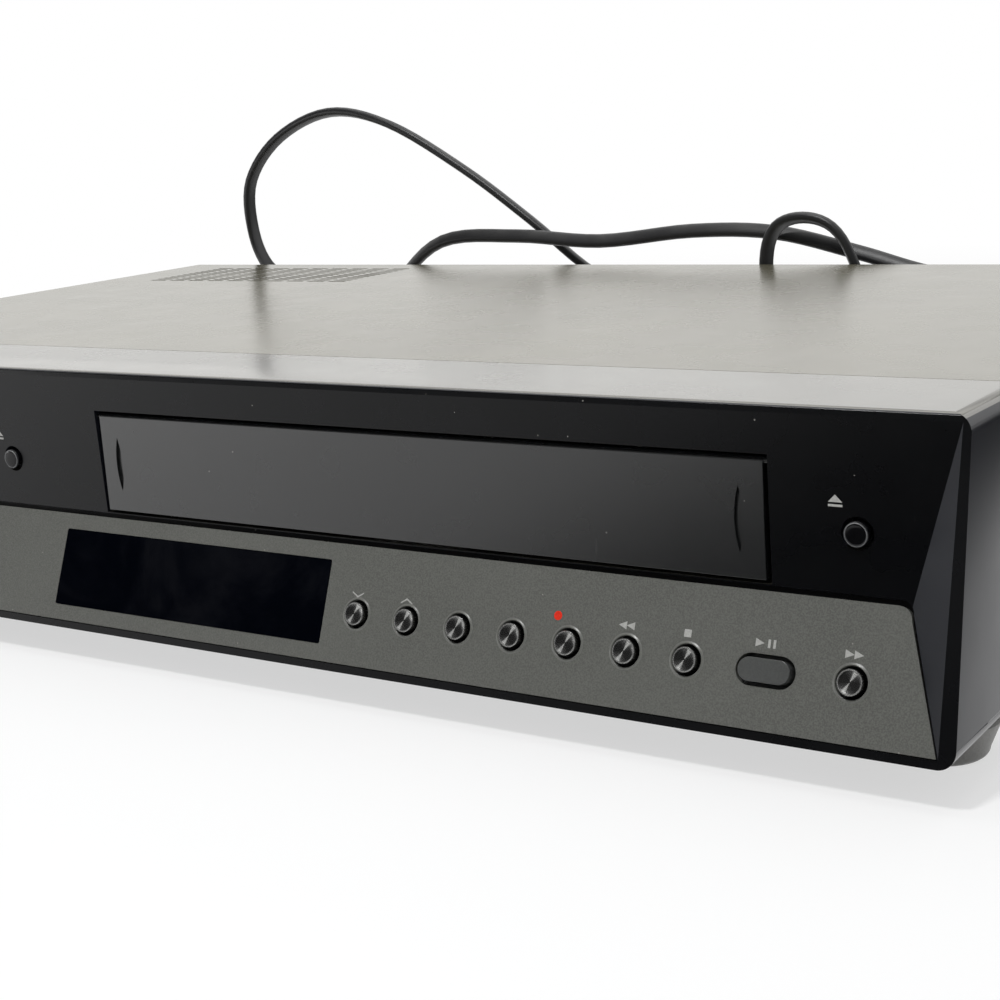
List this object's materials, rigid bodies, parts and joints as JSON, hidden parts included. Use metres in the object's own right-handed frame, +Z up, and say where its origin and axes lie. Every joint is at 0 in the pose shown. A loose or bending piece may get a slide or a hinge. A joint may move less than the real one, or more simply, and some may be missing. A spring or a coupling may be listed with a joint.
{
  "type": "dvd vcr combo player",
  "caption": "Low black housing with a hinged cassette door, sliding disc tray, sloped lower front with display window and push buttons, and a looped mains lead.",
  "frame": {"origin": "centre of the housing's bounding box on the surface that the feet stand on, the mains lead left out", "axes": "+X to the right across the front, +Y to the rear, +Z up; the front faces -Y"},
  "size_m": [0.43, 0.3111, 0.1415],
  "materials": {
    "cover_steel": "satin black-grey powder coat",
    "bezel_plastic": "satin moulded black",
    "trim_grey": "fine-grained dark metallic grey",
    "window": "tinted polished clear",
    "door_plastic": "satin dark grey",
    "steel": "zinc-plated sheet",
    "panel_black": "black paint",
    "foot": "dark grey",
    "screw": "black zinc",
    "cap_metal": "dark spun metal",
    "cap_black": "polished black",
    "black_plastic": "moulded black",
    "white_plastic": "natural moulded",
    "plated": "bright plated",
    "aluminium": "turned",
    "brass": "sintered bronze",
    "rubber": "black",
    "board_green": "solder mask",
    "board_brown": "paper laminate",
    "cord_black": "flexible sheath",
    "pickup_dark": "dark moulded"
  },
  "bodies": {
    "housing": {"base_chassis": "steel", "rear_panel": "panel_black", "top_cover": "cover_steel", "front_bezel": "bezel_plastic", "lower_trim_panel": "trim_grey", "display_window": "window", "display_module": "black_plastic", "feet": "foot", "cover_screws": "screw", "chassis_screws": "steel", "loader_frame": "black_plastic", "clamp_bridge": "steel", "tray_motor": "steel", "deck_plate": "steel", "carriage_frame": "steel", "drum_base": "aluminium", "capstan_bearing": "brass", "deck_motor": "steel", "main_board": "board_green", "power_board": "board_brown", "front_board": "board_green", "rear_jacks": "black_plastic", "antenna_jacks": "plated", "front_jacks": "black_plastic", "cord_relief": "cord_black", "mains_cord": "cord_black", "mains_plug": "cord_black"},
    "power_button": {"power_button": "cap_metal"},
    "tray_button": {"tray_button": "cap_black"},
    "eject_button": {"eject_button": "cap_black"},
    "select_down_button": {"select_down_button": "cap_metal"},
    "select_up_button": {"select_up_button": "cap_metal"},
    "source_button": {"source_button": "cap_metal"},
    "output_button": {"output_button": "cap_metal"},
    "record_button": {"record_button": "cap_metal"},
    "rewind_button": {"rewind_button": "cap_metal"},
    "stop_button": {"stop_button": "cap_metal"},
    "play_button": {"play_button": "cap_metal"},
    "forward_button": {"forward_button": "cap_metal"},
    "door": {"cassette_door": "door_plastic"},
    "tray": {"tray_front": "door_plastic", "disc_tray": "black_plastic"},
    "pinion": {"tray_pinion": "white_plastic"},
    "traverse": {"traverse_plate": "steel", "guide_rods": "plated", "spindle_motor": "steel"},
    "turntable": {"turntable": "rubber"},
    "pickup": {"optical_pickup": "pickup_dark"},
    "clamper": {"disc_clamper": "black_plastic"},
    "carriage": {"carriage_slides": "white_plastic"},
    "basket": {"cassette_basket": "steel"},
    "drum": {"head_drum": "aluminium"},
    "capstan": {"capstan_flywheel": "steel"},
    "pinch_arm": {"pinch_arm": "steel"},
    "pinch_roller": {"pinch_roller": "rubber"},
    "supply_reel": {"supply_reel": "white_plastic"},
    "takeup_reel": {"takeup_reel": "white_plastic"},
    "supply_guide": {"supply_guide_post": "plated"},
    "takeup_guide": {"takeup_guide_post": "plated"}
  },
  "joints": [
    {"name": "power_press", "type": "slide", "parent": "housing", "child": "power_button", "axis": [0, 0.9249, -0.3801], "range_m": [0, 0.0008], "stiffness_N_per_m": 300, "springref_m": -0.0005},
    {"name": "tray_press", "type": "slide", "parent": "housing", "child": "tray_button", "axis": [0, 1, 0], "range_m": [0, 0.0008], "stiffness_N_per_m": 300, "springref_m": -0.0005},
    {"name": "eject_press", "type": "slide", "parent": "housing", "child": "eject_button", "axis": [0, 1, 0], "range_m": [0, 0.0008], "stiffness_N_per_m": 300, "springref_m": -0.0005},
    {"name": "select_down_press", "type": "slide", "parent": "housing", "child": "select_down_button", "axis": [0, 0.9249, -0.3801], "range_m": [0, 0.0008], "stiffness_N_per_m": 300, "springref_m": -0.0005},
    {"name": "select_up_press", "type": "slide", "parent": "housing", "child": "select_up_button", "axis": [0, 0.9249, -0.3801], "range_m": [0, 0.0008], "stiffness_N_per_m": 300, "springref_m": -0.0005},
    {"name": "source_press", "type": "slide", "parent": "housing", "child": "source_button", "axis": [0, 0.9249, -0.3801], "range_m": [0, 0.0008], "stiffness_N_per_m": 300, "springref_m": -0.0005},
    {"name": "output_press", "type": "slide", "parent": "housing", "child": "output_button", "axis": [0, 0.9249, -0.3801], "range_m": [0, 0.0008], "stiffness_N_per_m": 300, "springref_m": -0.0005},
    {"name": "record_press", "type": "slide", "parent": "housing", "child": "record_button", "axis": [0, 0.9249, -0.3801], "range_m": [0, 0.0008], "stiffness_N_per_m": 300, "springref_m": -0.0005},
    {"name": "rewind_press", "type": "slide", "parent": "housing", "child": "rewind_button", "axis": [0, 0.9249, -0.3801], "range_m": [0, 0.0008], "stiffness_N_per_m": 300, "springref_m": -0.0005},
    {"name": "stop_press", "type": "slide", "parent": "housing", "child": "stop_button", "axis": [0, 0.9249, -0.3801], "range_m": [0, 0.0008], "stiffness_N_per_m": 300, "springref_m": -0.0005},
    {"name": "play_press", "type": "slide", "parent": "housing", "child": "play_button", "axis": [0, 0.9249, -0.3801], "range_m": [0, 0.0008], "stiffness_N_per_m": 300, "springref_m": -0.0005},
    {"name": "forward_press", "type": "slide", "parent": "housing", "child": "forward_button", "axis": [0, 0.9249, -0.3801], "range_m": [0, 0.0008], "stiffness_N_per_m": 300, "springref_m": -0.0005},
    {"name": "door_hinge", "type": "hinge", "parent": "housing", "child": "door", "pos_m": [0.0742, -0.11965, 0.0658], "axis": [1, 0, 0], "range_deg": [0, 90], "stiffness_Nm_per_rad": 0.002, "springref_deg": -11.46},
    {"name": "tray_slide", "type": "slide", "parent": "housing", "child": "tray", "axis": [0, -1, 0], "range_m": [0, 0.132]},
    {"name": "pinion_turn", "type": "hinge", "parent": "housing", "child": "pinion", "pos_m": [-0.1853, -0.10625, 0.045], "axis": [0, 0, 1], "range_deg": [0, 946]},
    {"name": "traverse_lift", "type": "hinge", "parent": "housing", "child": "traverse", "pos_m": [-0.134, 0.03875, 0.0456], "axis": [-1, 0, 0], "range_deg": [0, 4.7]},
    {"name": "turntable_spin", "type": "hinge", "parent": "traverse", "child": "turntable", "pos_m": [-0.134, -0.04579, 0.04868], "axis": [0, -0.0819, 0.9966], "continuous": true},
    {"name": "pickup_slide", "type": "slide", "parent": "traverse", "child": "pickup", "axis": [0, 0.9966, 0.0819], "range_m": [0, 0.03]},
    {"name": "clamper_spin", "type": "hinge", "parent": "housing", "child": "clamper", "pos_m": [-0.134, -0.04525, 0.059], "axis": [0, 0, 1], "continuous": true},
    {"name": "carriage_in", "type": "slide", "parent": "housing", "child": "carriage", "axis": [0, 1, 0], "range_m": [0, 0.045]},
    {"name": "basket_down", "type": "slide", "parent": "carriage", "child": "basket", "axis": [0, 0, -1], "range_m": [0, 0.01]},
    {"name": "drum_spin", "type": "hinge", "parent": "housing", "child": "drum", "pos_m": [0.0662, 0.06696, 0.04391], "axis": [0, -0.0993, 0.9951], "continuous": true},
    {"name": "capstan_spin", "type": "hinge", "parent": "housing", "child": "capstan", "pos_m": [0.1362, 0.05075, 0.029], "axis": [0, 0, 1], "continuous": true},
    {"name": "pinch_swing", "type": "hinge", "parent": "housing", "child": "pinch_arm", "pos_m": [0.156, 0.03675, 0.034], "axis": [0, 0, 1], "range_deg": [0, 26], "stiffness_Nm_per_rad": 0.02},
    {"name": "roller_spin", "type": "hinge", "parent": "pinch_arm", "child": "pinch_roller", "pos_m": [0.1515, 0.05428, 0.034], "axis": [0, 0, 1], "continuous": true},
    {"name": "supply_reel_spin", "type": "hinge", "parent": "housing", "child": "supply_reel", "pos_m": [0.0292, -0.01325, 0.027], "axis": [0, 0, 1], "continuous": true},
    {"name": "takeup_reel_spin", "type": "hinge", "parent": "housing", "child": "takeup_reel", "pos_m": [0.1192, -0.01325, 0.027], "axis": [0, 0, 1], "continuous": true},
    {"name": "supply_guide_run", "type": "slide", "parent": "housing", "child": "supply_guide", "axis": [-0.2356, 0.9719, 0], "range_m": [0, 0.0339]},
    {"name": "takeup_guide_run", "type": "slide", "parent": "housing", "child": "takeup_guide", "axis": [0.2356, 0.9719, 0], "range_m": [0, 0.0339]}
  ],
  "couplings": [
    {"joint": "pinion_turn", "follows": "tray_slide", "rad_per_m": 125},
    {"joint": "clamper_spin", "follows": "turntable_spin", "ratio": 1},
    {"joint": "takeup_guide_run", "follows": "supply_guide_run", "ratio": 1}
  ]
}
